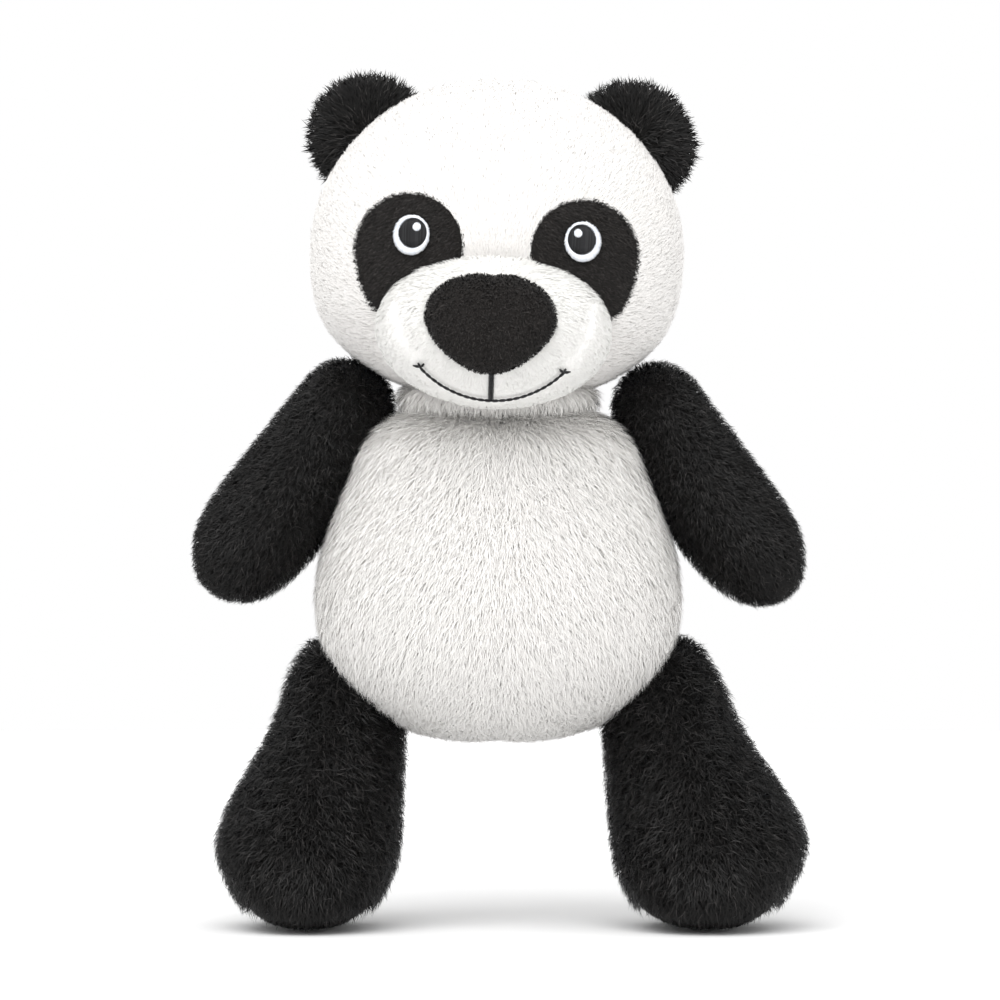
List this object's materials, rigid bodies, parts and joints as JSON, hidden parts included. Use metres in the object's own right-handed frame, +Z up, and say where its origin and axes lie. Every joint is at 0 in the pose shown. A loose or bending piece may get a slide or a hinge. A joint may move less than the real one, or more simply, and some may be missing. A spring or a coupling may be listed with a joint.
{
  "type": "plush panda",
  "caption": "Stuffed plush panda standing on its feet, white head and body, black ears, arms and legs, embroidered face, soft joints at neck, shoulders and hips.",
  "frame": {"origin": "on the ground, at the middle of the bounding box's underside", "axes": "+Z up, -Y the way the face looks, +X the toy's own left"},
  "size_m": [0.1898, 0.1184, 0.2611],
  "materials": {
    "white_plush": "short white plush, pile brushed down",
    "long_white_plush": "longer white plush, pile combed down",
    "black_plush": "black plush with a slight sheen",
    "black_velboa": "very short charcoal pile",
    "white_thread": "white satin stitch",
    "grey_thread": "charcoal satin stitch",
    "black_thread": "black stitching thread",
    "closing_thread": "white sewing thread",
    "fibre_filling": "polyester fibre filling"
  },
  "bodies": {
    "torso": {"belly_left_panel": "long_white_plush", "belly_right_panel": "long_white_plush", "back_left_panel": "long_white_plush", "back_right_panel": "long_white_plush", "body_stuffing": "fibre_filling", "back_closing_stitches": "closing_thread"},
    "neck": {"neck_stuffing": "fibre_filling"},
    "head": {"face_panel": "white_plush", "head_back_left_panel": "white_plush", "head_back_right_panel": "white_plush", "head_stuffing": "fibre_filling", "muzzle_panel": "white_plush", "muzzle_stuffing": "fibre_filling", "nose_cover": "black_velboa", "nose_padding": "fibre_filling", "mouth_stitching": "black_thread", "left_eye_patch": "black_velboa", "left_eye_white": "white_thread", "left_eye_pupil": "grey_thread", "left_eye_highlight": "white_thread", "right_eye_patch": "black_velboa", "right_eye_white": "white_thread", "right_eye_pupil": "grey_thread", "right_eye_highlight": "white_thread"},
    "left_ear": {"left_ear_front_panel": "black_plush", "left_ear_back_panel": "black_plush"},
    "left_shoulder": {"left_shoulder_wad": "fibre_filling"},
    "left_arm": {"left_arm_front_panel": "black_plush", "left_arm_back_panel": "black_plush", "left_arm_stuffing": "fibre_filling"},
    "left_hip": {"left_hip_wad": "fibre_filling"},
    "left_leg": {"left_leg_inner_panel": "black_plush", "left_leg_outer_panel": "black_plush", "left_sole_panel": "black_plush", "left_leg_stuffing": "fibre_filling"},
    "right_ear": {"right_ear_front_panel": "black_plush", "right_ear_back_panel": "black_plush"},
    "right_shoulder": {"right_shoulder_wad": "fibre_filling"},
    "right_arm": {"right_arm_front_panel": "black_plush", "right_arm_back_panel": "black_plush", "right_arm_stuffing": "fibre_filling"},
    "right_hip": {"right_hip_wad": "fibre_filling"},
    "right_leg": {"right_leg_inner_panel": "black_plush", "right_leg_outer_panel": "black_plush", "right_sole_panel": "black_plush", "right_leg_stuffing": "fibre_filling"}
  },
  "joints": [
    {"name": "neck_turn", "type": "hinge", "parent": "torso", "child": "neck", "pos_m": [0, 0.00979, 0.178], "axis": [0, 0, 1], "range_deg": [-30, 30]},
    {"name": "head_nod", "type": "hinge", "parent": "neck", "child": "head", "pos_m": [0, 0.00979, 0.178], "axis": [1, 0, 0], "range_deg": [-10, 8]},
    {"name": "left_ear_fold", "type": "hinge", "parent": "head", "child": "left_ear", "pos_m": [0.04455, 0.01379, 0.23923], "axis": [0.6455, 0, -0.7638], "range_deg": [-20, 25]},
    {"name": "left_arm_swing", "type": "hinge", "parent": "torso", "child": "left_shoulder", "pos_m": [0.045, 0.01079, 0.1575], "axis": [-1, 0, 0], "range_deg": [-35, 60]},
    {"name": "left_arm_lift", "type": "hinge", "parent": "left_shoulder", "child": "left_arm", "pos_m": [0.045, 0.01079, 0.1575], "axis": [0, -1, 0], "range_deg": [0, 60]},
    {"name": "left_leg_swing", "type": "hinge", "parent": "torso", "child": "left_hip", "pos_m": [0.044, 0.01279, 0.073], "axis": [-1, 0, 0], "range_deg": [-20, 40]},
    {"name": "left_leg_splay", "type": "hinge", "parent": "left_hip", "child": "left_leg", "pos_m": [0.044, 0.01279, 0.073], "axis": [0, -1, 0], "range_deg": [-5, 8]},
    {"name": "right_ear_fold", "type": "hinge", "parent": "head", "child": "right_ear", "pos_m": [-0.04238, 0.01379, 0.24272], "axis": [0.7046, 0, 0.7096], "range_deg": [-20, 25]},
    {"name": "right_arm_swing", "type": "hinge", "parent": "torso", "child": "right_shoulder", "pos_m": [-0.045, 0.01079, 0.1575], "axis": [-1, 0, 0], "range_deg": [-35, 60]},
    {"name": "right_arm_lift", "type": "hinge", "parent": "right_shoulder", "child": "right_arm", "pos_m": [-0.045, 0.01079, 0.1575], "axis": [0, 1, 0], "range_deg": [0, 60]},
    {"name": "right_leg_swing", "type": "hinge", "parent": "torso", "child": "right_hip", "pos_m": [-0.044, 0.01279, 0.073], "axis": [-1, 0, 0], "range_deg": [-20, 40]},
    {"name": "right_leg_splay", "type": "hinge", "parent": "right_hip", "child": "right_leg", "pos_m": [-0.044, 0.01279, 0.073], "axis": [0, 1, 0], "range_deg": [-5, 8]}
  ]
}
